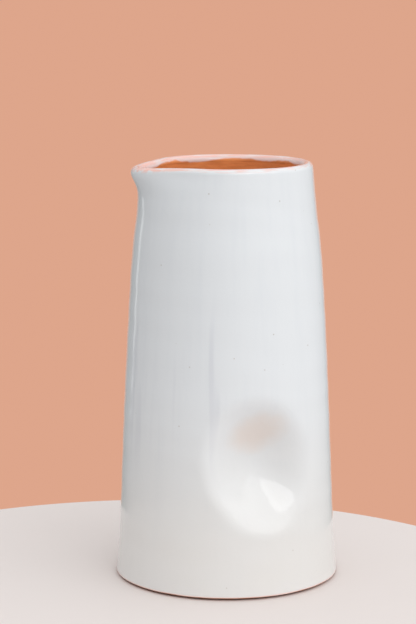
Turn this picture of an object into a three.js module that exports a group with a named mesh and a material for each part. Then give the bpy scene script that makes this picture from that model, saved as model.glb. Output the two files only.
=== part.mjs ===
// Ceramic pitcher: a thrown terracotta body with a pinched spout and a pressed thumb dimple,
// a white glaze coat outside and over the rim, and a clear glaze lining inside.
// Millimetres, +Z up. The origin is the centre of the foot, at the table. The spout points to -X
// and the thumb dimple faces -Y.

import * as THREE from "three";

// ---------------------------------------------------------------- driving dimensions

const HEIGHT = 210; // table to the crest of the glazed rim
const FOOT_RADIUS = 56.3; // glazed outside at the table, the widest place
const RIM_RADIUS = 43; // glazed outside just under the round of the rim

const FLARE = 1.3; // how far the foot spreads past the wall above it
const FLARE_HEIGHT = 20; // height over which it spreads
const WALL_BOW = 0.55; // how far the long wall bows out from a straight taper
const SHOULDER_DROP = 47; // rim crest down to the soft shoulder
const SHOULDER_SWELL = 4.85; // shoulder radius less rim radius
const NECK_DROP = 23; // rim crest down to the neck
const NECK_SWELL = 2.05; // neck radius less rim radius

const GLAZE = 0.4; // from the clay to the face of either glaze coat
const COAT_GAP = 0.05; // clearance that keeps the solid of each coat off the clay and the other coat
const RIM_WALL = 4.7; // clay wall thickness at the rim
const FOOT_WALL = 5; // clay wall thickness at the floor
const FLOOR = 6.4; // top of the clay floor above the table
const FLOOR_CORNER = 11; // radius of the round between floor and wall, inside

const GLAZE_LINE = 1.4; // height above the table at which the white coat stops
const BEVEL_HEIGHT = 1.1; // trimmed outer edge of the foot
const BEVEL_DEPTH = 3;
const FOOT_RING = 9; // width of the ring of clay that stands on the table
const RECESS = 1.3; // how far the trimmed middle of the underside is above the table
const RECESS_SLOPE = 2.5; // width of the step between the ring and the recess
const LIP_OVERLAP = 0.6; // how far the white coat runs down inside, below the round of the rim

const SPOUT_REACH = 5.9; // how far the beak stands out past the round rim
const SPOUT_HALF_WIDTH = 16.8; // half the width of the beak, along the rim
const SPOUT_DROOP = 1.5; // how far the tip of the beak sinks below the rim crest
const DROOP_HALF_WIDTH = 23; // half the length of rim that sinks with it
const SPOUT_PINCH = 2.3; // how far the wall is drawn in on each side of the beak
const PINCH_SPACING = 29.4; // along the rim, from the middle of the beak to each pinch
const SPOUT_FALL = 8.7; // how far below the round of the rim the beak has faded to a third
const SPOUT_CURVE = 1.6; // how round that fading is: 1 is a plain decay

const DIMPLE_HEIGHT = 65.3; // table to the middle of the thumb dimple
const DIMPLE_ASIDE = 2.8; // middle of the dimple towards +X
const DIMPLE_DEPTH = 15;
const DIMPLE_HALF_WIDTH = 29.7;
const DIMPLE_HALF_HEIGHT = 37.3;
const DIMPLE_LEAN = 14.3; // degrees by which the top of the dimple leans to -X

const RIM_MIDDLE = HEIGHT - GLAZE - RIM_WALL / 2; // height where the round of the rim starts

// How finely the round shapes are divided.
const SEGMENTS = 48; // around the axis, a multiple of 4
const WALL_ROWS = 20;
const ROW_CROWDING = 1.4; // draws the wall's rows together towards the rim; 1 spaces them evenly
const RIM_STEPS = 6;
const CORNER_STEPS = 4;

// ---------------------------------------------------------------- section of the vessel

const point = (radius, height) => new THREE.Vector2(radius, height);

// The clay's outside from the glaze line up to where the round of the rim starts.
function outsideWall() {
  const footEdge = point(FOOT_RADIUS - GLAZE, GLAZE_LINE);
  const flareTop = point(FOOT_RADIUS - FLARE - GLAZE, FLARE_HEIGHT);
  const shoulder = point(RIM_RADIUS + SHOULDER_SWELL - GLAZE, HEIGHT - SHOULDER_DROP);
  const middle = flareTop.clone().lerp(shoulder, 0.5).add(point(WALL_BOW, 0));
  const neck = point(RIM_RADIUS + NECK_SWELL - GLAZE, HEIGHT - NECK_DROP);
  const rimStart = point(RIM_RADIUS - GLAZE, RIM_MIDDLE);
  const stations = [footEdge, flareTop, middle, shoulder, neck, rimStart];
  const curve = new THREE.CatmullRomCurve3(
    stations.map((p) => new THREE.Vector3(p.x, p.y, 0)),
    false,
    "centripetal",
  );
  const points = [];
  for (let i = 0; i <= WALL_ROWS; i++) {
    const p = curve.getPointAt(1 - (1 - i / WALL_ROWS) ** ROW_CROWDING);
    points.push(point(p.x, p.y));
  }
  return points;
}

// Points on a circular arc round a centre, without its first point. Angles are in quarter turns.
function arc(centre, radius, from, to, steps) {
  const points = [];
  for (let i = 1; i <= steps; i++) {
    const angle = THREE.MathUtils.lerp(from, to, i / steps) * (Math.PI / 2);
    points.push(point(Math.cos(angle), Math.sin(angle)).multiplyScalar(radius).add(centre));
  }
  return points;
}

// Radius of the clay's inside at a height: the wall thins evenly from the floor to the rim.
function insideRadius(outside, height) {
  const above = Math.max(1, outside.findIndex((p) => p.y >= height));
  const [low, high] = [outside[above - 1], outside[above]];
  const radius = THREE.MathUtils.mapLinear(height, low.y, high.y, low.x, high.x);
  return radius - THREE.MathUtils.mapLinear(height, FLOOR, HEIGHT, FOOT_WALL, RIM_WALL);
}

// The whole clay section: from the axis under the floor out to the foot, up the outside, over the
// rim, down the inside and back to the axis on the floor. coatStart and lip are the points where
// the white coat starts and ends; the lining starts at the point after lip.
function claySection() {
  const outside = outsideWall();
  const footEdge = outside[0];
  const ringOuter = footEdge.x - BEVEL_DEPTH;
  const ringInner = ringOuter - FOOT_RING;
  const underside = [
    point(0, RECESS),
    point(ringInner - RECESS_SLOPE, RECESS),
    point(ringInner, 0),
    point(ringOuter, 0),
    point(footEdge.x, BEVEL_HEIGHT),
  ];

  const rimStart = outside[WALL_ROWS];
  const rimRadius = (rimStart.x - insideRadius(outside, rimStart.y)) / 2;
  const rimCentre = rimStart.clone().sub(point(rimRadius, 0));
  const rim = arc(rimCentre, rimRadius, 0, 2, RIM_STEPS);

  const lipHeight = rimStart.y - LIP_OVERLAP;
  const cornerTop = FLOOR + FLOOR_CORNER;
  const between = (p) => p.y > cornerTop + LIP_OVERLAP && p.y < lipHeight - LIP_OVERLAP;
  const heights = outside.filter(between).map((p) => p.y);
  const inside = [lipHeight, lipHeight - COAT_GAP, ...heights.reverse(), cornerTop].map((height) =>
    point(insideRadius(outside, height), height),
  );
  const cornerCentre = inside[inside.length - 1].clone().sub(point(FLOOR_CORNER, 0));
  const corner = arc(cornerCentre, FLOOR_CORNER, 0, -1, CORNER_STEPS);

  return {
    points: [...underside, ...outside, ...rim, ...inside, ...corner, point(0, FLOOR)],
    coatStart: underside.length,
    lip: underside.length + outside.length + rim.length,
  };
}

// The section's points moved squarely out of the clay by a distance.
function movedOut(points, distance) {
  return points.map((p, i) => {
    const before = points[Math.max(0, i - 1)];
    const after = points[Math.min(points.length - 1, i + 1)];
    const along = after.clone().sub(before).normalize();
    const radius = p.x === 0 ? 0 : p.x + along.y * distance;
    return point(radius, p.y - along.x * distance);
  });
}

// A coat on the clay from one point of the section to another: back along its clay side, then out
// along its face. It closes on itself unless it ends on the axis.
function coatSection(clay, from, to) {
  const clayside = movedOut(clay, COAT_GAP).slice(from, to + 1).reverse();
  const face = movedOut(clay, GLAZE).slice(from, to + 1);
  return clay[to].x === 0 ? [...clayside, ...face] : [...clayside, ...face, clayside[0]];
}

// ---------------------------------------------------------------- spout and dimple

// How much of the beak is left at a height: 1 over the round of the rim, then falling towards 0.
function spoutFade(height) {
  const below = Math.max(0, RIM_MIDDLE - height);
  return Math.exp(-((below / SPOUT_FALL) ** SPOUT_CURVE));
}

// Pulls the spout out of the round wall at -X: out along the radius and a little down at the
// beak, and in on both sides of it.
function pullSpout(p) {
  const turn = Math.atan2(p.y, -p.x);
  const along = turn * RIM_RADIUS;
  const beak = Math.exp(-((along / SPOUT_HALF_WIDTH) ** 2));
  const sunk = Math.exp(-((along / DROOP_HALF_WIDTH) ** 2));
  const beside = (along / PINCH_SPACING) ** 2;
  const pinch = beside * Math.exp(1 - beside);
  const fade = spoutFade(p.z);
  const out = fade * (SPOUT_REACH * beak - SPOUT_PINCH * pinch);
  p.x -= out * Math.cos(turn);
  p.y += out * Math.sin(turn);
  p.z -= fade * SPOUT_DROOP * sunk;
}

// Presses the thumb dimple, a leaning oval, into the wall that faces -Y.
function pressDimple(p) {
  const fromMiddle = point(p.x - DIMPLE_ASIDE, p.z - DIMPLE_HEIGHT);
  fromMiddle.rotateAround(point(0, 0), -THREE.MathUtils.degToRad(DIMPLE_LEAN));
  const away =
    (fromMiddle.x / DIMPLE_HALF_WIDTH) ** 2 + (fromMiddle.y / DIMPLE_HALF_HEIGHT) ** 2;
  if (p.y < 0 && away < 1) p.y += DIMPLE_DEPTH * (1 - away) ** 2;
}

// ---------------------------------------------------------------- nodes

// Splits the quads of a lathe's first rows along their other diagonal. The clay side of a coat
// runs the other way from the clay's own outline, so this gives both the same triangles.
function turnDiagonals(geometry, turnedRows) {
  const { points, segments } = geometry.parameters;
  const index = geometry.getIndex();
  for (let segment = 0; segment < segments; segment++) {
    for (let row = 0; row < turnedRows; row++) {
      const first = 6 * (segment * (points.length - 1) + row);
      index.setX(first + 2, index.getX(first + 3));
      index.setX(first + 5, index.getX(first));
    }
  }
}

function vesselPart(name, outline, turnedRows, color, roughness) {
  const geometry = new THREE.LatheGeometry(outline, SEGMENTS);
  turnDiagonals(geometry, turnedRows);
  geometry.rotateX(Math.PI / 2);
  const position = geometry.getAttribute("position");
  const p = new THREE.Vector3();
  for (let i = 0; i < position.count; i++) {
    p.fromBufferAttribute(position, i);
    pressDimple(p);
    pullSpout(p);
    position.setXYZ(i, p.x, p.y, p.z);
  }
  geometry.computeVertexNormals();
  const material = new THREE.MeshStandardMaterial({ color, roughness, metalness: 0 });
  const mesh = new THREE.Mesh(geometry, material);
  mesh.name = name;
  return mesh;
}

const { points: clay, coatStart, lip } = claySection();
const liningStart = lip + 1;
const axisEnd = clay.length - 1;
const coat = coatSection(clay, coatStart, lip);
const lining = coatSection(clay, liningStart, axisEnd);

const pitcher = new THREE.Group();
pitcher.add(vesselPart("clay_body", clay, 0, 0xc4734a, 0.85));
pitcher.add(vesselPart("white_glaze_coat", coat, lip - coatStart, 0xe4e4e1, 0.12));
pitcher.add(vesselPart("clear_glaze_lining", lining, axisEnd - liningStart, 0xc06a3c, 0.15));

export default pitcher;
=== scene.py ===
"""Ceramic pitcher: the finished surfaces of its thrown clay and its two glazes, in a plain studio.

Metres, +Z up, the origin at the centre of the foot. The spout points to -X and the thumb dimple
faces -Y. Every piece is one outline spun round the axis, then pressed and pulled into shape.
"""

import math

import bmesh
import bpy
from bpy.props import FloatProperty, FloatVectorProperty, PointerProperty
from mathutils import Matrix, Vector, noise
from mathutils.geometry import interpolate_bezier


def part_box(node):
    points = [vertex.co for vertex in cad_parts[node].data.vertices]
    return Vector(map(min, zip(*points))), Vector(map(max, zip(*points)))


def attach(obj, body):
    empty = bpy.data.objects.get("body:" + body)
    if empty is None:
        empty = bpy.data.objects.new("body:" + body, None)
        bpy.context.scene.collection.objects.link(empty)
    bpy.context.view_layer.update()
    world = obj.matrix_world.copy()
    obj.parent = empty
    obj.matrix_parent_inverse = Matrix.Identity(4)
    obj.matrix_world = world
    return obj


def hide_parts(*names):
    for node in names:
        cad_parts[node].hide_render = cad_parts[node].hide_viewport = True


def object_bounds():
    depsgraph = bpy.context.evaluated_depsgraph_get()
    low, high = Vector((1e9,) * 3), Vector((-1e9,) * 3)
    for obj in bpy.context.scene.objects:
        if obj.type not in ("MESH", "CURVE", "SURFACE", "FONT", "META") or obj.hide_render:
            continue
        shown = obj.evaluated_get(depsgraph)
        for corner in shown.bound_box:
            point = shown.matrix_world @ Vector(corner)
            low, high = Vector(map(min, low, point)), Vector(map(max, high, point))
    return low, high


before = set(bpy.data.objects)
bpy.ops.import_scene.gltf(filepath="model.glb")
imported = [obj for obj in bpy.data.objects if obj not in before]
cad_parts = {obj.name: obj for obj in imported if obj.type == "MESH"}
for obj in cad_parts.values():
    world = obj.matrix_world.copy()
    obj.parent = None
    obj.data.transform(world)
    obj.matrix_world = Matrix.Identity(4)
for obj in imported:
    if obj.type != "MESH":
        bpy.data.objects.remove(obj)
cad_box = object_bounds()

bl_info = {
    "name": "Ceramic pitcher",
    "version": (1, 0, 0),
    "blender": (4, 5, 0),
    "location": "3D View > Sidebar > Pitcher",
    "description": "Builds a glazed terracotta pitcher with a pulled spout and a thumb dimple",
    "category": "Add Mesh",
}

MM = 0.001
UP = Vector((0, 0, 1))
QUARTER = math.pi / 2

ROW = 1.5 * MM  # spacing of the points along an outline
TURN_STEPS = 192  # steps round the axis, a multiple of 4
RIM_STEPS = 16
CORNER_STEPS = 10
SAME_PLACE = 1e-7
CORNER = math.radians(35)  # edges turning more than this stay crisp

PAST_CREST = "past_crest"  # distance past the rim's crest along the wall, inwards, in metres
ON_FACE = "on_face"  # 1 on the face of a glaze, 0 on the side that sits on the clay

SPOUT_CURVE = 1.6  # how round the fading of the beak is: 1 is a plain decay
MARKS_FADE = 14 * MM  # depth below the round of the rim over which the throwing marks die out
DIP_FADE = 10 * MM  # depth below the round of the rim over which the dips of its crest die out
SPIRAL_GRAIN = 40 * MM  # size of the stretches in which a spiral runs early or late
WOBBLE_GRAIN = 55 * MM  # size of the patches in which the wall wanders in
RUN_GRAIN = 5 * MM  # width of the glaze's runs
RUN_STRETCH = 0.07  # how much a height counts in them, so that they come out tall
DIP_GRAIN = 30 * MM  # length of the dips of the crest
RAGGED_GRAINS = (9 * MM, 30 * MM)  # lengths of the short and long waves of the lower glaze line
EDGE_SOFTNESS = 0.5 * MM  # half the width over which the white glaze thins out at its edge
WHITE_IOR = 1.55  # how strongly each glaze bends light, which sets how much it mirrors
CLEAR_IOR = 1.5


def length(name, millimetres, description):
    """A size in the sidebar, written in millimetres and held in metres."""
    return FloatProperty(
        name=name, description=description, default=millimetres * MM, unit="LENGTH", precision=4
    )


def colour(name, rgb, description):
    return FloatVectorProperty(
        name=name, description=description, default=rgb, subtype="COLOR", min=0, max=1
    )


def angle(name, degrees, description):
    return FloatProperty(
        name=name, description=description, default=math.radians(degrees), subtype="ANGLE"
    )


def amount(name, value, description):
    return FloatProperty(name=name, description=description, default=value, min=0)


# ------------------------------------------------------------------ sizes and colours


class PitcherShape(bpy.types.PropertyGroup):
    """Sizes of the thrown vessel, its glazes, spout and dimple"""

    height: length("Height", cad_box[1].z / MM, "Table to the crest of the glazed rim")
    foot_radius: length(
        "Foot radius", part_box("white_glaze_coat")[1].y / MM, "Glazed outside at the foot"
    )
    rim_radius: length("Rim radius", 43, "Glazed outside just under the round of the rim")
    flare: length("Flare", 1.3, "How far the foot spreads past the wall above it")
    flare_height: length("Flare height", 20, "Height over which the foot spreads")
    wall_bow: length("Wall bow", 0.55, "How far the long wall bows out from a straight taper")
    shoulder_drop: length("Shoulder drop", 47, "Rim crest down to the soft shoulder")
    shoulder_swell: length("Shoulder swell", 4.85, "Shoulder radius less rim radius")
    neck_drop: length("Neck drop", 23, "Rim crest down to the neck")
    neck_swell: length("Neck swell", 2.05, "Neck radius less rim radius")

    glaze: length("Glaze", 0.4, "From the clay to the face of either glaze")
    glaze_seat: length("Glaze seat", 0.05, "From the clay to the underside of either glaze")
    rim_wall: length("Rim wall", 4.7, "Clay wall thickness at the rim")
    foot_wall: length("Foot wall", 5, "Clay wall thickness at the floor")
    floor: length("Floor", 6.4, "Top of the clay floor above the table")
    floor_corner: length("Floor corner", 11, "Round between floor and wall, inside")

    glaze_line: length("Glaze line", 1.4, "Height at which the white glaze stops")
    bevel_height: length("Foot bevel height", 1.1, "Height of the trimmed outer edge of the foot")
    bevel_depth: length("Foot bevel depth", 3, "Depth of the trimmed outer edge of the foot")
    foot_ring: length("Foot ring", 9, "Width of the clay ring that stands on the table")
    recess: length("Recess", 1.3, "Height of the trimmed middle of the underside")
    recess_slope: length("Recess slope", 2.5, "Width of the step up to the recess")
    lip_overlap: length("Lip overlap", 0.6, "How far the white glaze runs down inside the rim")

    spout_reach: length("Spout reach", 5.9, "How far the beak stands out past the round rim")
    spout_half_width: length("Spout half width", 16.8, "Half the beak's width along the rim")
    spout_droop: length("Spout droop", 1.5, "How far the beak's tip sinks below the crest")
    droop_half_width: length("Droop half width", 23, "Half the length of rim that sinks with it")
    spout_pinch: length("Spout pinch", 2.3, "How far the wall is drawn in beside the beak")
    pinch_spacing: length("Pinch spacing", 29.4, "From the middle of the beak to each pinch")
    spout_fall: length("Spout fall", 8.7, "Depth below the rim at which the beak has faded")

    dimple_height: length("Dimple height", 65.3, "Table to the middle of the thumb dimple")
    dimple_aside: length("Dimple aside", 2.8, "Middle of the dimple towards +X")
    dimple_depth: length("Dimple depth", 15, "Depth of the thumb dimple")
    dimple_half_width: length("Dimple half width", 29.7, "Half the width of the thumb dimple")
    dimple_half_height: length("Dimple half height", 37.3, "Half the height of the thumb dimple")
    dimple_lean: angle("Dimple lean", 14.3, "How far the top of the dimple leans to -X")


class PitcherHand(bpy.types.PropertyGroup):
    """Marks that the potter's hand and the kiln leave on the surfaces, and painted light on them"""

    wave_depth: length("Wave depth", 0.12, "Depth of the smoothed throwing waves outside")
    wave_pitch: length("Wave pitch", 17, "Rise of the outside waves in one turn")
    wobble: length("Wobble", 0.22, "How far the wall wanders in from a true round")
    ring_depth: length("Ring depth", 0.3, "Depth of the finger rings inside")
    ring_pitch: length("Ring pitch", 6.5, "Rise of the finger rings in one turn")
    run_depth: length("Run depth", 0.07, "How much thinner the glaze is between its runs")
    bead: length("Bead", 0.12, "How far the glaze stands out in a bead along its lower edge")
    bead_height: length("Bead height", 2.2, "Height of that bead")
    ragged: length("Ragged line", 0.25, "How far the lower glaze line wanders up and down")
    rim_dip: length("Rim dip", 0.25, "How far the crest of the rim dips here and there")

    edge_inside: length("Edge inside", 3.5, "How far past the crest the white glaze ends")
    edge_at_spout: length("Edge at the spout", 5, "How much further it runs down in the spout")
    edge_wander: length("Edge wander", 5.5, "How far that edge wanders up and down")
    blush_reach: length("Blush reach", 3.4, "How far from the crest the clay shows through")
    drip_top: length("Drip top", 160, "Height at which the narrow drips begin")
    drip_full: length("Drip height", 120, "Height at which the narrow drips show fully")
    # height where the painted warm bounce light from the table starts
    bounce_top: length("Bounce top", 110, "Height from which painted warm bounce light grows downwards")
    speck_cell: length("Speck cell", 5, "Size of the cells, some of which hold an iron speck")
    # the sizes below place a painted reflection of the pale table in the dimple
    reflection_height: length("Reflection height", 81, "Table to the middle of the painted table reflection")
    reflection_aside: length("Reflection aside", 3, "Middle of the painted reflection towards +X")
    reflection_half_width: length("Reflection half width", 14, "Half the width of the painted reflection")
    reflection_half_height: length("Reflection half height", 10.5, "Half the height of the painted reflection")
    reflection_slant: amount("Reflection slant", 0.15, "How much the painted reflection rises for each step to +X")

    run_strength: amount("Run strength", 0.18, "How far the runs turn the white glaze cool")
    drip_strength: amount("Drip strength", 0.32, "How plainly the narrow drips show")
    speck_strength: amount("Speck strength", 0.4, "How plainly the iron specks show")
    # how strongly the painted reflection of the table shows
    reflection_strength: amount("Reflection strength", 0.55, "How plainly the painted reflection shows")


class PitcherColours(bpy.types.PropertyGroup):
    """Colours of the clay and the glazes, some of them painted light, and of the room"""

    white: colour("White glaze", (0.79, 0.80, 0.81), "Thick white glaze")
    cool: colour("Cool runs", (0.70, 0.72, 0.75), "Thin runs in the white glaze")
    drip: colour("Drips", (0.60, 0.60, 0.65), "Narrow drips in the white glaze")
    # painted warm light bounced from the table onto the glaze near the foot
    warm: colour("Painted warm bounce", (0.77, 0.745, 0.71), "Painted warm bounce light on the white glaze towards the foot")
    blush: colour("Blush", (0.88, 0.53, 0.46), "Clay showing through thin white glaze")
    # painted reflection of the pale table in the dimple
    reflected_table: colour("Painted table reflection", (0.80, 0.66, 0.57), "Painted reflection of the pale table in the dimple")
    speck: colour("Specks", (0.30, 0.20, 0.11), "Iron specks in the white glaze")
    # terracotta, partly its own colour and partly darkened as painted shade for the gap under the
    # foot
    clay: colour("Clay", (0.48, 0.20, 0.10), "Fired terracotta, darkened as painted shade at the foot")
    dark_clay: colour("Dark clay", (0.30, 0.11, 0.05), "Terracotta in its scratches and pores")
    lining: colour("Lining", (0.90, 0.34, 0.12), "Terracotta under the clear glaze")
    dark_lining: colour("Dark lining", (0.68, 0.23, 0.08), "Clear glaze pooled in the rings")
    table: colour("Table", (0.80, 0.73, 0.70), "Pale table top")
    wall: colour("Wall", (0.73, 0.38, 0.26), "Warm wall behind the pitcher")
    shade: colour("Shade", (0.26, 0.29, 0.29), "Shaded corners beside that wall")
    room: colour("Room", (0.42, 0.43, 0.44), "The room before the pitcher")
    bright: colour("Bright side", (0.75, 0.76, 0.77), "Soft light from the right of the camera")
    sky: colour("Sky", (0.46, 0.49, 0.52), "Soft light above")
    bright_sky: colour("Bright sky", (0.90, 0.92, 0.94), "Soft light above the bright side")
    gap: colour("Gap", (0.95, 1.0, 1.0), "Bright gap behind on the left")


class PitcherStudio(bpy.types.PropertyGroup):
    """Camera and lights"""

    view_turn: angle("View turn", -16, "Turn of the camera round the pitcher, from the dimple")
    view_tilt: angle("View tilt", 9.52, "How far the camera looks down")
    view_aside: angle("View aside", 0.51, "How far the camera looks to the left of the axis")
    stand_off: length("Stand-off", 1061.8, "Camera to the axis, along the table")
    eye_height: length("Eye height", 311.9, "Camera above the table")
    lens: FloatProperty(name="Lens", description="Focal length", default=123.2, unit="CAMERA")
    table_radius: length("Table radius", 205, "Radius of the round table top")
    table_left: length("Table to the left", 35, "Table's middle to the left of the pitcher")
    table_near: length("Table nearer", 60, "Table's middle nearer the camera than the pitcher")
    table_thickness: length("Table thickness", 120, "Height of the table's edge")
    table_round: length("Table round", 5, "Round of the table's edge")
    bright_strength: amount("Bright strength", 1.2, "Brightness of the sky on the bright side")
    glow_turn: angle("Glow turn", 52, "Turn of the brightest part of the sky, from the camera")
    glow_rise: angle("Glow rise", 38, "Height of the brightest part of the sky")
    glow_strength: amount("Glow strength", 2.1, "Brightness of that part of the sky")
    sky_strength: amount("Sky strength", 1.05, "Brightness of the sky overhead")
    gap_turn: angle("Gap turn", -134, "Turn of the bright gap, from the camera")
    gap_half_width: amount("Gap half width", 0.055, "Half the gap's width, seen from 1 m away")
    gap_strength: amount("Gap strength", 1.4, "Brightness of the gap")
    bright_turn: angle("Bright turn", 62, "Turn of the bright side, from the camera")
    window_turn: angle("Window turn", 17, "Turn of the window, from the camera")
    window_rise: angle("Window rise", 37, "Height of the window's middle")
    window_away: length("Window away", 1500, "Distance of the window")
    window_width: length("Window width", 720, "Width of the window")
    window_height: length("Window height", 600, "Height of the window from sill to top")
    window_power: amount("Window power", 2.8, "Watts of light from the window")


# ------------------------------------------------------------------ outline of the vessel


def point(radius, height):
    return Vector((radius, height))


def smooth_run(stations):
    """Points a row apart on the centripetal Catmull-Rom curve through the stations."""
    before_first = 2 * stations[0] - stations[1]
    after_last = 2 * stations[-1] - stations[-2]
    knots = [before_first, *stations, after_last]
    run = [stations[0]]
    for a, b, c, d in zip(knots, knots[1:], knots[2:], knots[3:]):
        ab, bc, cd = ((q - p).length ** 0.5 for p, q in ((a, b), (b, c), (c, d)))
        leaving = ((b - a) / ab - (c - a) / (ab + bc) + (c - b) / bc) * bc
        arriving = ((c - b) / bc - (d - b) / (bc + cd) + (d - c) / cd) * bc
        points = 1 + max(1, round((c - b).length / ROW))
        run += interpolate_bezier(b, b + leaving / 3, c - arriving / 3, c, points)[1:]
    return run


def arc(centre, radius, start, end, steps):
    """Points on an arc without its first point. Angles are in quarter turns."""
    points = []
    for i in range(1, steps + 1):
        turn = (start + (end - start) * i / steps) * QUARTER
        points.append(centre + radius * point(math.cos(turn), math.sin(turn)))
    return points


def rim_middle(shape):
    """Height at which the round of the rim starts."""
    return shape.height - shape.glaze - shape.rim_wall / 2


def outside_wall(shape):
    """The clay's outside from the glaze line up to the start of the rim's round."""
    s = shape
    foot_edge = point(s.foot_radius - s.glaze, s.glaze_line)
    flare_top = point(s.foot_radius - s.flare - s.glaze, s.flare_height)
    shoulder = point(s.rim_radius + s.shoulder_swell - s.glaze, s.height - s.shoulder_drop)
    middle = (flare_top + shoulder) / 2 + point(s.wall_bow, 0)
    neck = point(s.rim_radius + s.neck_swell - s.glaze, s.height - s.neck_drop)
    rim_start = point(s.rim_radius - s.glaze, rim_middle(s))
    return smooth_run([foot_edge, flare_top, middle, shoulder, neck, rim_start])


def outside_radius(outside, height):
    """Radius of the clay's outside at a height."""
    above = next((i for i, p in enumerate(outside) if p.y >= height), len(outside) - 1)
    above = max(1, above)
    low, high = outside[above - 1], outside[above]
    return low.x + (high.x - low.x) * (height - low.y) / (high.y - low.y)


def inside_radius(shape, outside, height):
    """Radius of the clay's inside at a height: the wall thins evenly to the rim."""
    up = (height - shape.floor) / (shape.height - shape.floor)
    wall = shape.foot_wall + (shape.rim_wall - shape.foot_wall) * up
    return outside_radius(outside, height) - wall


def clay_outline(shape):
    """The clay's whole outline, from the axis under the floor round to the axis on the floor.

    Also gives the places in it where the white glaze starts and ends, and of the rim's crest.
    """
    s = shape
    outside = outside_wall(s)
    foot_edge, rim_start = outside[0], outside[-1]
    ring_outer = foot_edge.x - s.bevel_depth
    ring_inner = ring_outer - s.foot_ring
    underside = [
        point(0, s.recess),
        point(ring_inner - s.recess_slope, s.recess),
        point(ring_inner, 0),
        point(ring_outer, 0),
        point(foot_edge.x, s.bevel_height),
    ]
    rim_radius = (rim_start.x - inside_radius(s, outside, rim_start.y)) / 2
    rim = arc(rim_start - point(rim_radius, 0), rim_radius, 0, 2, RIM_STEPS)

    lip_height = rim_start.y - s.lip_overlap
    corner_top = s.floor + s.floor_corner
    margin = ROW / 2
    heights = [p.y for p in outside if corner_top + margin < p.y < lip_height - margin]
    heights = [lip_height, lip_height - s.glaze_seat, *reversed(heights), corner_top]
    inside = [point(inside_radius(s, outside, height), height) for height in heights]
    corner_centre = inside[-1] - point(s.floor_corner, 0)
    corner = arc(corner_centre, s.floor_corner, 0, -1, CORNER_STEPS)
    floor_rows = round(corner[-1].x / (2 * ROW))
    floor = [corner[-1] * (1 - i / floor_rows) for i in range(1, floor_rows + 1)]
    floor = [point(p.x, s.floor) for p in floor]

    points = [*underside, *outside, *rim, *inside, *corner, *floor]
    glaze_start = len(underside)
    lip = glaze_start + len(outside) + len(rim)
    crest = glaze_start + len(outside) + RIM_STEPS // 2 - 1
    return points, glaze_start, lip, crest


def past_crest(points, crest):
    """Distance of each point from the crest along the outline: inwards is positive."""
    distance = [0.0]
    for p, q in zip(points, points[1:]):
        distance.append(distance[-1] + (q - p).length)
    return [d - distance[crest] for d in distance]


def moved_out(points, distance):
    """The outline moved squarely out of the clay; a point on the axis stays on it."""
    moved = []
    for i, p in enumerate(points):
        along = (points[min(len(points) - 1, i + 1)] - points[max(0, i - 1)]).normalized()
        radius = p.x + along.y * distance if p.x > 0 else 0
        moved.append(point(radius, p.y - along.x * distance))
    return moved


# ------------------------------------------------------------------ shaping the vessel


def smooth_step(value, low, high):
    t = min(1, max(0, (value - low) / (high - low)))
    return t * t * (3 - 2 * t)


def patchy(p, grain):
    """Slow noise over the vessel, from 0 to 1."""
    return min(1, max(0, 0.5 + 0.5 * noise.noise(p / grain)))


def spiral(p, pitch):
    """A wave from 0 to 1 that climbs by its pitch in each turn round the axis."""
    turns = p.z / pitch + math.atan2(p.y, p.x) / math.tau
    return 0.5 + 0.5 * math.cos(math.tau * (turns + 0.5 * noise.noise(p / SPIRAL_GRAIN)))


def move_out(p, distance):
    """Moves a point away from the axis."""
    radius = math.hypot(p.x, p.y)
    if radius > 0:
        p.x += distance * p.x / radius
        p.y += distance * p.y / radius


def clear_of_rim(p, shape):
    """1 on the wall, falling to 0 at the round of the rim."""
    top = rim_middle(shape)
    return 1 - smooth_step(p.z, top - MARKS_FADE, top)


def clear_of_edges(p, shape):
    """1 on the wall, falling to 0 at the round of the rim and at the foot."""
    return smooth_step(p.z, shape.glaze_line, shape.flare_height) * clear_of_rim(p, shape)


def is_outside(p, shape, outside):
    """True on the outer side of the wall's middle."""
    return math.hypot(p.x, p.y) > outside_radius(outside, p.z) - shape.rim_wall / 2


def throw(p, shape, hand, outside):
    """Gives a wall its throwing marks. They only ever take a little of the clay away."""
    if is_outside(p, shape, outside):
        wave = hand.wave_depth * spiral(p, hand.wave_pitch)
        wobble = hand.wobble * patchy(p, WOBBLE_GRAIN)
        move_out(p, -clear_of_edges(p, shape) * (wave + wobble))
    elif p.z > shape.floor - ROW:
        ring = hand.ring_depth * spiral(p, hand.ring_pitch) * clear_of_rim(p, shape)
        up_wall = smooth_step(p.z, shape.floor, shape.floor + shape.floor_corner)
        move_out(p, ring * up_wall)


def run_glaze(p, shape, hand, outside):
    """Thins the face of a glaze between its runs, and leaves a bead along its lower edge.

    The face sinks in just above the bead, and comes out again over nine times its height.
    """
    clear = clear_of_edges(p, shape)
    stretched = Vector((p.x, p.y, p.z * RUN_STRETCH))
    inwards = hand.run_depth * patchy(stretched, RUN_GRAIN) * clear
    beads_up = (p.z - shape.glaze_line) / hand.bead_height
    inwards += hand.bead * smooth_step(beads_up, 0.4, 1.4) * (1 - smooth_step(beads_up, 2, 9))
    move_out(p, -inwards if is_outside(p, shape, outside) else inwards * clear)


def press_dimple(p, shape):
    """Presses the thumb dimple into the wall that faces -Y."""
    s = shape
    from_middle = point(p.x - s.dimple_aside, p.z - s.dimple_height)
    from_middle.rotate(Matrix.Rotation(-s.dimple_lean, 2))
    away = (from_middle.x / s.dimple_half_width) ** 2 + (from_middle.y / s.dimple_half_height) ** 2
    if p.y < 0 and away < 1:
        p.y += s.dimple_depth * (1 - away) ** 2


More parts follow.
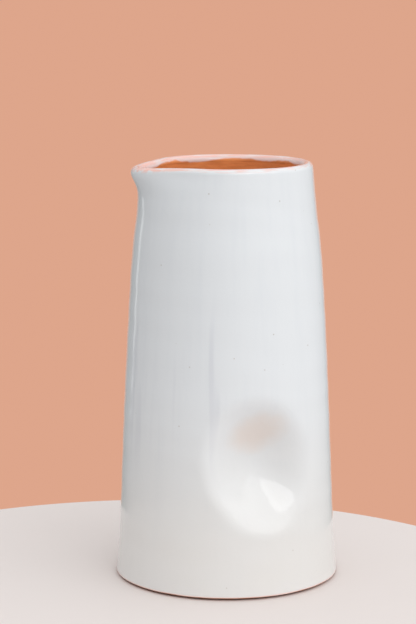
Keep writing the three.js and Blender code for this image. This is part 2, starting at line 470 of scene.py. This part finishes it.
def pull_spout(p, shape):
    """Pulls the beak out at -X and a little down, and draws the wall in on both sides of it."""
    s = shape
    turn = math.atan2(p.y, -p.x)
    along = turn * s.rim_radius
    beak = math.exp(-((along / s.spout_half_width) ** 2))
    sunk = math.exp(-((along / s.droop_half_width) ** 2))
    beside = (along / s.pinch_spacing) ** 2
    pinch = beside * math.exp(1 - beside)
    below = max(0, rim_middle(s) - p.z)
    fade = math.exp(-((below / s.spout_fall) ** SPOUT_CURVE))
    out = fade * (s.spout_reach * beak - s.spout_pinch * pinch)
    p.x -= out * math.cos(turn)
    p.y += out * math.sin(turn)
    p.z -= fade * s.spout_droop * sunk


def dip_rim(p, shape, hand):
    """Lets the crest dip a little here and there."""
    at_rim = smooth_step(p.z, rim_middle(shape) - DIP_FADE, shape.height)
    flat = Vector((p.x, p.y, 0))
    p.z -= hand.rim_dip * at_rim * patchy(flat, DIP_GRAIN)


# ------------------------------------------------------------------ making a piece


def spun_piece(name, outline, distances, face_from, closed, context):
    """Spins an outline round the axis and shapes it. The points from face_from on are its face."""
    shape, hand = context.scene.pitcher_shape, context.scene.pitcher_hand
    outside = outside_wall(shape)
    spun = bmesh.new()
    past = spun.verts.layers.float.new(PAST_CREST)
    face = spun.verts.layers.float.new(ON_FACE)
    section = []
    for i, (p, distance) in enumerate(zip(outline, distances)):
        vert = spun.verts.new((p.x, 0, p.y))
        vert[past] = distance
        vert[face] = i >= face_from
        section.append(vert)
    ends = section[1:] + section[:1] if closed else section[1:]
    edges = [spun.edges.new(pair) for pair in zip(section, ends)]
    bmesh.ops.spin(
        spun,
        geom=section + edges,
        axis=UP,
        angle=math.tau,
        steps=TURN_STEPS,
        use_merge=True,
    )
    bmesh.ops.remove_doubles(spun, verts=spun.verts, dist=SAME_PLACE)
    bmesh.ops.recalc_face_normals(spun, faces=spun.faces)

    for vert in spun.verts:
        p = vert.co
        throw(p, shape, hand, outside)
        if vert[face]:
            run_glaze(p, shape, hand, outside)
        press_dimple(p, shape)
        pull_spout(p, shape)
        dip_rim(p, shape, hand)
    for polygon in spun.faces:
        polygon.smooth = True
    for edge in spun.edges:
        edge.smooth = edge.calc_face_angle(0) < CORNER
    spun.verts.layers.float.remove(face)

    mesh = bpy.data.meshes.new(name)
    spun.to_mesh(mesh)
    spun.free()
    piece = bpy.data.objects.new(name, mesh)
    context.scene.collection.objects.link(piece)
    return piece


def glaze_outline(shape, points, distances, start, end):
    """A glaze on the clay between two places of its outline: back along its seat, out along its
    face. Also gives the distances past the crest, and where the face begins."""
    seat = moved_out(points, shape.glaze_seat)[start : end + 1][::-1]
    face = moved_out(points, shape.glaze)[start : end + 1]
    along = distances[start : end + 1]
    return seat + face, along[::-1] + along, len(seat)


# ------------------------------------------------------------------ shader expressions


class Shade:
    """One socket of a material's nodes. Sums and products of it add Math nodes."""

    def __init__(self, tree, socket=None):
        self.tree = tree
        self.socket = socket

    def node(self, node_type, settings=None, inputs=None, output=0):
        """Adds a node: its settings, then the values or links of its inputs."""
        node = self.tree.nodes.new(node_type)
        for key, value in (settings or {}).items():
            setattr(node, key, value)
        for key, value in (inputs or {}).items():
            if isinstance(value, Shade):
                self.tree.links.new(value.socket, node.inputs[key])
            else:
                node.inputs[key].default_value = value
        return Shade(self.tree, node.outputs[output])

    def maths(self, operation, *values):
        return self.node("ShaderNodeMath", {"operation": operation}, dict(enumerate(values)))

    def __add__(self, other):
        return self.maths("ADD", self, other)

    __radd__ = __add__

    def __mul__(self, other):
        return self.maths("MULTIPLY", self, other)

    __rmul__ = __mul__

    def __sub__(self, other):
        return self.maths("SUBTRACT", self, other)

    def __rsub__(self, other):
        return self.maths("SUBTRACT", other, self)

    def rise(self, low, high):
        """0 below low, 1 above high and a smooth step between them; low may be the higher."""
        inputs = {"Value": self, "From Min": low, "From Max": high}
        return self.node("ShaderNodeMapRange", {"interpolation_type": "SMOOTHSTEP"}, inputs)

    def near_zero(self, inner, outer):
        """1 within inner of zero, 0 beyond outer and a smooth step between them."""
        return self.rise(-outer, -inner) * self.rise(outer, inner)

    def blend(self, here, there):
        """Two colours, mixed by this value: 0 is the first and 1 is the second."""
        here, there = (c if isinstance(c, Shade) else (*c, 1) for c in (here, there))
        inputs = {0: self, 6: here, 7: there}
        return self.node("ShaderNodeMix", {"data_type": "RGBA"}, inputs, output=2)

    def place(self, stretch=(1, 1, 1)):
        """The place on the piece in metres, stretched along each axis."""
        place = self.node("ShaderNodeTexCoord", output="Object")
        return self.node("ShaderNodeMapping", inputs={"Vector": place, "Scale": stretch})

    def noise(self, per_metre, detail=2, stretch=(1, 1, 1), place=None):
        """Patches from 0 to 1, about so many to the metre."""
        place = place or self.place(stretch)
        inputs = {"Vector": place, "Scale": per_metre, "Detail": detail}
        return self.node("ShaderNodeTexNoise", inputs=inputs)

    def along(self, axis):
        """One coordinate of the place on the piece."""
        return self.node("ShaderNodeSeparateXYZ", inputs={"Vector": self.place()}, output=axis)


def new_material(name):
    """A material with a Principled shader, and the start of its expressions."""
    material = bpy.data.materials.new(name)
    material.use_nodes = True
    return material, material.node_tree.nodes["Principled BSDF"], Shade(material.node_tree)


def feed(shader, shade, name):
    shade.tree.links.new(shade.socket, shader.inputs[name])


def scaled(rgb, factor):
    """A colour made brighter or dimmer by a factor."""
    return [factor * c for c in rgb]


def bumped(shader, heights, depth):
    """Bumps the surface by heights from 0 to 1, that are a depth in metres."""
    inputs = {"Height": heights, "Distance": depth, "Strength": 1}
    feed(shader, heights.node("ShaderNodeBump", inputs=inputs), "Normal")


def crest_distance(start):
    """Distance past the rim's crest along the wall, inwards, in metres."""
    return start.node("ShaderNodeAttribute", {"attribute_name": PAST_CREST}, output="Fac")


def rim_streaks(start):
    """Noise whose patches are drawn out along the rim."""
    past = 9 * crest_distance(start)
    place = {"X": start.along("X"), "Y": start.along("Y"), "Z": past}
    place = start.node("ShaderNodeCombineXYZ", inputs=place)
    return start.noise(75, detail=3, place=place).rise(0.42, 0.6)


def at_spout(start, shape):
    """0 round most of the rim, rising to 1 in the beak, where it is out past the round rim."""
    return start.along("X").rise(9 * MM - shape.rim_radius, -3 * MM - shape.rim_radius)


def glaze_edge(start, shape, hand):
    """1 on the white glaze and 0 past its ragged edge inside the mouth, lower at the spout."""
    wander = hand.edge_wander * (start.noise(60, detail=4) - 0.5)
    edge = hand.edge_inside + hand.edge_at_spout * at_spout(start, shape) + wander
    return (crest_distance(start) - edge).rise(EDGE_SOFTNESS, -EDGE_SOFTNESS)


def lining_colour(start, colours):
    """Terracotta seen through the clear glaze."""
    pooled = start.noise(60, detail=4, stretch=(1, 1, 6)).rise(0.35, 0.75)
    return pooled.blend(colours.lining, colours.dark_lining)


def thin_glaze(start, shape, hand):
    """How far the clay shows through: where white glaze ran thin off the rim and the foot."""
    past = crest_distance(start)
    reach = hand.blush_reach
    crest = past.rise(-reach, -0.47 * reach) * past.rise(reach, 0.12 * reach)
    crest *= 0.15 + 0.75 * rim_streaks(start)
    inner = past.rise(-0.4 * MM, 1.2 * MM) * (0.25 + 0.6 * start.noise(120, detail=3))
    mottled = start.noise(400, detail=1).rise(0.4, 0.6)
    beak = at_spout(start, shape) * past.rise(-4.5 * MM, -2 * MM) * mottled
    at_line = start.along("Z").rise(shape.glaze_line + 1 * MM, shape.glaze_line + 0.1 * MM)
    return (crest + inner + 0.7 * beak + 0.6 * at_line).rise(0, 1.1)


def painted_reflection(start, hand):
    """A slanting oval in the dimple: a painted reflection of the pale table in the glaze, 1 in its
    middle.
    """
    across = start.along("X") - hand.reflection_aside
    above = start.along("Z") - hand.reflection_height - hand.reflection_slant * across
    across *= 1 / hand.reflection_half_width
    above *= 1 / hand.reflection_half_height
    away = across * across + above * above
    dimple_side = start.along("Y").rise(0, -20 * MM)
    return (away + 0.8 * start.noise(150, detail=3)).rise(2, 0.3) * dimple_side


def narrow_drips(start, hand):
    """Long narrow drips on the side of the spout, here and there: 1 in their middles."""
    lines = start.noise(260, detail=0, stretch=(1, 1, 0.02)).rise(0.54, 0.74)
    spout_side = start.along("X").rise(-10 * MM, -20 * MM)
    below = start.along("Z").rise(hand.drip_top, hand.drip_full)
    here_and_there = start.noise(30, detail=1, stretch=(1, 1, 0.3)).rise(0.4, 0.6)
    return lines * spout_side * below * here_and_there


def iron_specks(start, hand):
    """Small round specks, in about one cell out of nine: 1 in their middles."""
    cells = {"Scale": 1 / hand.speck_cell, "Vector": start.place()}
    distance = start.node("ShaderNodeTexVoronoi", inputs=cells)
    lot = start.node("ShaderNodeTexVoronoi", inputs=cells, output="Color")
    drawn = start.node("ShaderNodeSeparateColor", inputs={"Color": lot})
    return distance.rise(0.1, 0.04) * drawn.rise(0.88, 0.9)


def white_glaze_material(shape, hand, colours):
    """Thick tin-white glaze: soft runs, iron specks, blush on its thin edges, painted warm bounce
    light towards the foot and a painted reflection of the table in the dimple.
    """
    material, shader, start = new_material("white glaze")
    runs = start.noise(190, detail=3, stretch=(1, 1, 0.05)).rise(0.45, 0.75)
    tone = (hand.run_strength * runs).blend(colours.white, colours.cool)
    tone = (hand.drip_strength * narrow_drips(start, hand)).blend(tone, colours.drip)
    # painted warm bounce light from the table, stronger towards the foot
    painted_bounce = start.along("Z").rise(hand.bounce_top, 10 * MM) * (0.6 + 0.4 * start.noise(30))
    tone = painted_bounce.blend(tone, colours.warm)
    tone = (hand.speck_strength * iron_specks(start, hand)).blend(tone, colours.speck)
    # painted reflection of the pale table in the upper part of the dimple
    tone = (hand.reflection_strength * painted_reflection(start, hand)).blend(tone, colours.reflected_table)
    tone = thin_glaze(start, shape, hand).blend(tone, colours.blush)
    tone = glaze_edge(start, shape, hand).blend(lining_colour(start, colours), tone)
    feed(shader, tone, "Base Color")
    feed(shader, 0.06 + 0.05 * start.noise(70), "Roughness")
    shader.inputs["IOR"].default_value = WHITE_IOR
    peel = start.noise(420, detail=1) + 2 * start.noise(150, detail=1, stretch=(1, 1, 0.1))
    bumped(shader, peel, 0.03 * MM)
    return material


def clear_glaze_material(shape, hand, colours):
    """Clear glaze over terracotta, whitened where the white glaze ran into the mouth."""
    material, shader, start = new_material("clear glaze")
    tone = lining_colour(start, colours)
    milky = start.noise(110).blend(colours.white, colours.blush)
    tone = (0.8 * glaze_edge(start, shape, hand)).blend(tone, milky)
    feed(shader, tone, "Base Color")
    feed(shader, 0.1 + 0.06 * start.noise(80), "Roughness")
    shader.inputs["IOR"].default_value = CLEAR_IOR
    bumped(shader, start.noise(300), 0.04 * MM)
    return material


def clay_material(colours):
    """Bare fired terracotta: grainy, with dark pores, its colour darkened as painted shade for the
    gap under the foot.
    """
    material, shader, start = new_material("terracotta")
    patches = start.noise(45, detail=3).rise(0.3, 0.7)
    pores = start.noise(900).rise(0.6, 0.72)
    # the clay colour is darkened as painted shade for the gap under the foot
    tone = (0.35 * patches + 0.65 * pores).blend(colours.clay, colours.dark_clay)
    feed(shader, tone, "Base Color")
    feed(shader, 0.78 + 0.16 * patches, "Roughness")
    bumped(shader, start.noise(700, detail=3) - 0.6 * pores, 0.12 * MM)
    return material


def table_material(colours):
    """A plain pale matt table top."""
    material, shader, start = new_material("pale table")
    tone = start.noise(9, detail=3).blend(colours.table, scaled(colours.table, 0.97))
    feed(shader, tone, "Base Color")
    feed(shader, 0.5 + 0.1 * start.noise(25), "Roughness")
    return material


# ------------------------------------------------------------------ operators


def finish_piece(piece, material, node):
    """Gives a piece its material and ties it to the frame."""
    piece.data.materials.append(material)
    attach(piece, "root")
    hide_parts(node)


class PITCHER_OT_thrown_clay(bpy.types.Operator):
    """Build the thrown terracotta vessel"""

    bl_idname = "pitcher.thrown_clay"
    bl_label = "Thrown clay"

    def execute(self, context):
        points, _, _, crest = clay_outline(context.scene.pitcher_shape)
        distances = past_crest(points, crest)
        piece = spun_piece("thrown_clay", points, distances, len(points), False, context)
        material = clay_material(context.scene.pitcher_colours)
        finish_piece(piece, material, "clay_body")
        return {"FINISHED"}


class PITCHER_OT_white_glaze(bpy.types.Operator):
    """Coat the outside and the rim with white glaze"""

    bl_idname = "pitcher.white_glaze"
    bl_label = "White glaze"

    def execute(self, context):
        shape, hand = context.scene.pitcher_shape, context.scene.pitcher_hand
        points, start, lip, crest = clay_outline(shape)
        distances = past_crest(points, crest)
        outline, along, face_from = glaze_outline(shape, points, distances, start, lip)
        piece = spun_piece("white_glaze", outline, along, face_from, True, context)
        rag_lower_edge(piece, shape, hand)
        material = white_glaze_material(shape, hand, context.scene.pitcher_colours)
        finish_piece(piece, material, "white_glaze_coat")
        return {"FINISHED"}


def rag_lower_edge(piece, shape, hand):
    """Lets the lower edge of the white glaze wander up and down on the bare foot."""
    for vert in piece.data.vertices:
        near = 1 - smooth_step(vert.co.z, shape.glaze_line, 4 * shape.glaze_line)
        flat = Vector((vert.co.x, vert.co.y, 0))
        wander = 0.6 * sum(noise.noise(flat / grain) for grain in RAGGED_GRAINS)
        vert.co.z += near * hand.ragged * wander


class PITCHER_OT_clear_glaze(bpy.types.Operator):
    """Line the inside with clear glaze"""

    bl_idname = "pitcher.clear_glaze"
    bl_label = "Clear glaze"

    def execute(self, context):
        shape, hand = context.scene.pitcher_shape, context.scene.pitcher_hand
        points, _, lip, crest = clay_outline(shape)
        distances = past_crest(points, crest)
        end = len(points) - 1
        outline, along, face_from = glaze_outline(shape, points, distances, lip + 1, end)
        piece = spun_piece("clear_glaze", outline, along, face_from, False, context)
        material = clear_glaze_material(shape, hand, context.scene.pitcher_colours)
        finish_piece(piece, material, "clear_glaze_lining")
        return {"FINISHED"}


class PITCHER_OT_studio(bpy.types.Operator):
    """Set the pitcher on a pale table, under soft light, before the camera"""

    bl_idname = "pitcher.studio"
    bl_label = "Studio"

    def execute(self, context):
        studio = context.scene.pitcher_studio
        colours = context.scene.pitcher_colours
        set_table(context, studio, colours)
        light_room(context, studio, colours)
        hang_window(context, studio)
        set_camera(context, studio)
        return {"FINISHED"}


def facing(studio, turn):
    """The level direction from the pitcher at a turn from the camera."""
    heading = studio.view_turn + turn
    return Vector((math.sin(heading), -math.cos(heading), 0))


def raised(level, rise):
    """A level direction turned up by an angle."""
    return math.cos(rise) * level + math.sin(rise) * UP


def set_table(context, studio, colours):
    """A round table top with a rounded edge. The pitcher's foot stands on it."""
    top = bmesh.new()
    disc = bmesh.ops.create_circle(
        top, cap_ends=True, segments=TURN_STEPS, radius=studio.table_radius
    )
    middle = studio.table_near * facing(studio, 0)
    middle -= studio.table_left * facing(studio, QUARTER)
    thickness = studio.table_thickness * UP
    bmesh.ops.translate(top, verts=disc["verts"], vec=middle - thickness)
    grown = bmesh.ops.extrude_face_region(top, geom=top.faces[:])["geom"]
    upper = [v for v in grown if isinstance(v, bmesh.types.BMVert)]
    bmesh.ops.translate(top, verts=upper, vec=thickness)
    bmesh.ops.recalc_face_normals(top, faces=top.faces)
    bmesh.ops.bevel(
        top,
        geom=[e for e in top.edges if e.calc_face_angle(0) > CORNER],
        offset=studio.table_round,
        affect="EDGES",
        segments=6,
        profile=0.5,
        material=-1,
    )
    mesh = bpy.data.meshes.new("table_top")
    top.to_mesh(mesh)
    top.free()
    table = bpy.data.objects.new("table_top", mesh)
    table.data.materials.append(table_material(colours))
    context.scene.collection.objects.link(table)


def towards(start, direction):
    """How nearly the room is looked at in a direction: 1 is straight along it."""
    looking = start.node("ShaderNodeTexCoord", output="Generated")
    inputs = {0: looking, 1: direction}
    settings = {"operation": "DOT_PRODUCT"}
    return start.node("ShaderNodeVectorMath", settings, inputs, output="Value")


def light_room(context, studio, colours):
    """The room's own light: a pale sky above, brightest on the right of the camera, and a warm wall
    behind with shade on both sides of it."""
    room = bpy.data.worlds.new("studio")
    room.use_nodes = True
    start = Shade(room.node_tree)
    up = towards(start, UP)
    behind = towards(start, facing(studio, 2 * QUARTER))
    left = towards(start, facing(studio, -QUARTER))
    side = towards(start, facing(studio, studio.bright_turn)).rise(-0.1, 0.9)

    light = side.blend(colours.room, colours.bright)
    light = (behind + 0.15 * left).rise(0.72, 0.89).blend(light, colours.shade)
    light = behind.rise(0.9, 0.95).blend(light, colours.wall)
    sky = side.blend(colours.sky, scaled(colours.bright_sky, studio.bright_strength))
    light = up.rise(-0.02, 0.35).blend(light, sky)
    overhead = scaled((1, 1, 1), studio.sky_strength)
    light = up.rise(0.25, 0.85).blend(light, overhead)
    glow = scaled(colours.bright_sky, studio.glow_strength)
    brightest = raised(facing(studio, studio.glow_turn), studio.glow_rise)
    light = towards(start, brightest).rise(0.9, 0.98).blend(light, glow)

    beside = towards(start, facing(studio, studio.gap_turn + QUARTER))
    ahead = towards(start, facing(studio, studio.gap_turn)).rise(0.5, 0.6)
    gap = beside.near_zero(0.27 * studio.gap_half_width, studio.gap_half_width)
    gap *= ahead * up.rise(-0.2, -0.12)
    light = gap.blend(light, scaled(colours.gap, studio.gap_strength))
    feed(room.node_tree.nodes["Background"], light, "Color")
    context.scene.world = room


def hang_window(context, studio):
    """A wide soft window above and to the right of the camera."""
    lamp = bpy.data.lights.new("window", "AREA")
    lamp.shape = "RECTANGLE"
    lamp.size = studio.window_width
    lamp.size_y = studio.window_height
    lamp.energy = studio.window_power
    window = bpy.data.objects.new("window", lamp)
    outwards = raised(facing(studio, studio.window_turn), studio.window_rise)
    window.location = studio.window_away * outwards
    window.rotation_euler = outwards.to_track_quat("Z", "Y").to_euler()
    window.visible_camera = False
    context.scene.collection.objects.link(window)


def set_camera(context, studio):
    lens = bpy.data.cameras.new("camera")
    lens.lens = studio.lens
    camera = bpy.data.objects.new("camera", lens)
    camera.location = studio.stand_off * facing(studio, 0) + studio.eye_height * UP
    heading = studio.view_turn + studio.view_aside
    camera.rotation_euler = (QUARTER - studio.view_tilt, 0, heading)
    context.scene.collection.objects.link(camera)
    context.scene.camera = camera
    context.scene.view_settings.view_transform = "Standard"


# ------------------------------------------------------------------ sidebar

PROPERTY_GROUPS = {
    "pitcher_shape": PitcherShape,
    "pitcher_hand": PitcherHand,
    "pitcher_colours": PitcherColours,
    "pitcher_studio": PitcherStudio,
}
OPERATORS = (
    PITCHER_OT_thrown_clay,
    PITCHER_OT_white_glaze,
    PITCHER_OT_clear_glaze,
    PITCHER_OT_studio,
)


class PITCHER_PT_sidebar(bpy.types.Panel):
    """Sizes and colours of the pitcher, and a button for each of its pieces"""

    bl_idname = "PITCHER_PT_sidebar"
    bl_label = "Ceramic pitcher"
    bl_space_type = "VIEW_3D"
    bl_region_type = "UI"
    bl_category = "Pitcher"

    def draw(self, context):
        for group_name, group in PROPERTY_GROUPS.items():
            box = self.layout.box()
            box.label(text=group.__doc__)
            for setting in group.__annotations__:
                box.prop(getattr(context.scene, group_name), setting)
        for operator in OPERATORS:
            self.layout.operator(operator.bl_idname)


def register():
    for group_name, group in PROPERTY_GROUPS.items():
        bpy.utils.register_class(group)
        setattr(bpy.types.Scene, group_name, PointerProperty(type=group))
    for cls in (*OPERATORS, PITCHER_PT_sidebar):
        bpy.utils.register_class(cls)


def unregister():
    for cls in (PITCHER_PT_sidebar, *reversed(OPERATORS)):
        bpy.utils.unregister_class(cls)
    for group_name, group in PROPERTY_GROUPS.items():
        delattr(bpy.types.Scene, group_name)
        bpy.utils.unregister_class(group)


def main():
    register()
    bpy.ops.pitcher.thrown_clay()
    bpy.ops.pitcher.white_glaze()
    bpy.ops.pitcher.clear_glaze()
    bpy.ops.pitcher.studio()


if __name__ == "__main__":
    main()
